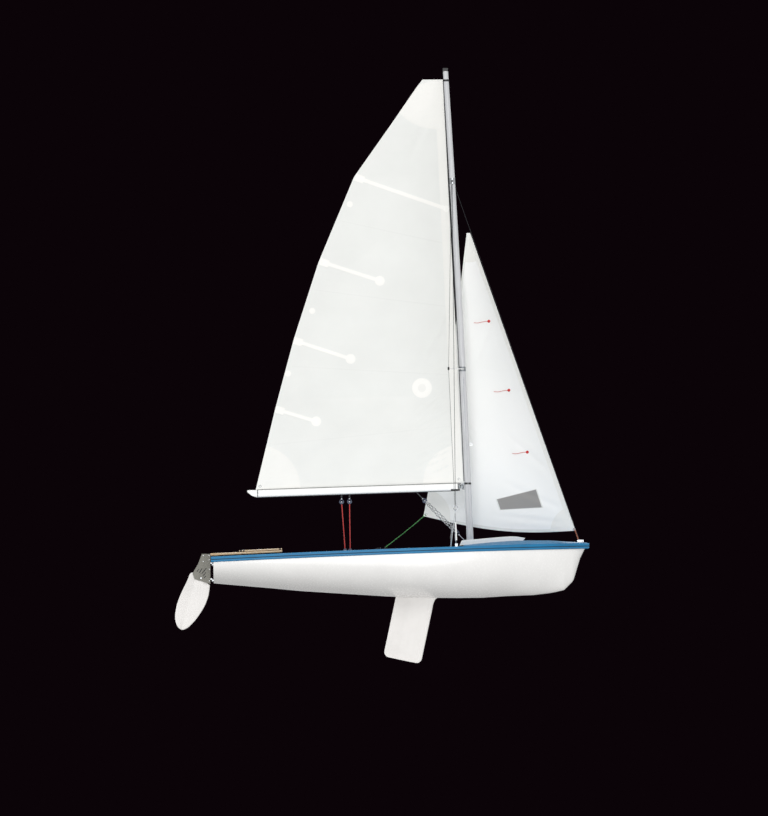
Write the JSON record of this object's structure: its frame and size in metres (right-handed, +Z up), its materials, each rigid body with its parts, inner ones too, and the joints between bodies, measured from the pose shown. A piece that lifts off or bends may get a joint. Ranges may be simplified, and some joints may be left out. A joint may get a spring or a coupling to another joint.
{
  "type": "sailing dinghy",
  "caption": "Open two-person sailing dinghy with raked mast, boom, mainsail and jib set, swinging centreboard, and transom-hung rudder with tiller.",
  "frame": {"origin": "at the waterline on the centreline, halfway between the deck's ends", "axes": "+X forward to the bow, +Y to port, +Z up"},
  "size_m": [4.6131, 1.6296, 6.6279],
  "materials": {
    "white_gelcoat": "glossy gelcoat",
    "blue_gelcoat": "glossy gelcoat",
    "grey_gelcoat": "non-slip gelcoat",
    "spar": "painted aluminium",
    "black_plastic": "moulded",
    "stainless": "polished",
    "wire": "wire rope",
    "sailcloth": "resin-finished polyester cloth",
    "webbing": "woven webbing",
    "anodised": "anodised",
    "rope": "braided",
    "varnished_wood": "varnished"
  },
  "bodies": {
    "hull": {"hull_shell": "white_gelcoat", "transom": "white_gelcoat", "gunwale": "blue_gelcoat", "foredeck": "blue_gelcoat", "bow_bulkhead": "white_gelcoat", "port_tank": "blue_gelcoat", "starboard_tank": "blue_gelcoat", "cockpit_floor": "grey_gelcoat", "centreboard_case": "white_gelcoat", "thwart": "white_gelcoat", "mainsheet_blocks": "black_plastic", "splashboard": "white_gelcoat", "mast": "spar", "masthead_cap": "black_plastic", "mast_gate": "stainless", "mast_step": "stainless", "port_spreader": "spar", "starboard_spreader": "spar", "port_shroud": "wire", "starboard_shroud": "wire", "forestay": "wire", "port_chainplate": "stainless", "starboard_chainplate": "stainless", "bow_fitting": "stainless", "pole_ring": "stainless", "rudder_gudgeons": "stainless", "gooseneck_bracket": "anodised", "vang_tang": "anodised", "port_jib_lead": "black_plastic", "starboard_jib_lead": "black_plastic", "port_toe_strap": "webbing", "starboard_toe_strap": "webbing", "jib": "sailcloth"},
    "boom": {"gooseneck": "anodised", "boom": "spar", "boom_end": "black_plastic", "mainsail": "sailcloth", "vang": "rope", "boom_blocks": "black_plastic"},
    "rudder": {"rudder_head": "anodised", "pintles": "stainless", "tiller": "varnished_wood", "tiller_extension": "varnished_wood"},
    "rudder_blade": {"rudder_blade": "white_gelcoat"},
    "centreboard": {"centreboard": "white_gelcoat"}
  },
  "joints": [
    {"name": "boom_swing", "type": "hinge", "parent": "hull", "child": "boom", "pos_m": [0.69606, 0, 1.026], "axis": [-0.0516, 0, 0.9987], "range_deg": [-30, 70]},
    {"name": "rudder_turn", "type": "hinge", "parent": "hull", "child": "rudder", "pos_m": [-2.09727, 0, 0], "axis": [0, 0, 1], "range_deg": [-60, 60]},
    {"name": "blade_lift", "type": "hinge", "parent": "rudder", "child": "rudder_blade", "pos_m": [-2.22227, 0, 0.00978], "axis": [0, 1, 0], "range_deg": [0, 85]},
    {"name": "centreboard_lift", "type": "hinge", "parent": "hull", "child": "centreboard", "pos_m": [0.3595, 0, -0.1294], "axis": [0, 1, 0], "range_deg": [0, 80]}
  ]
}
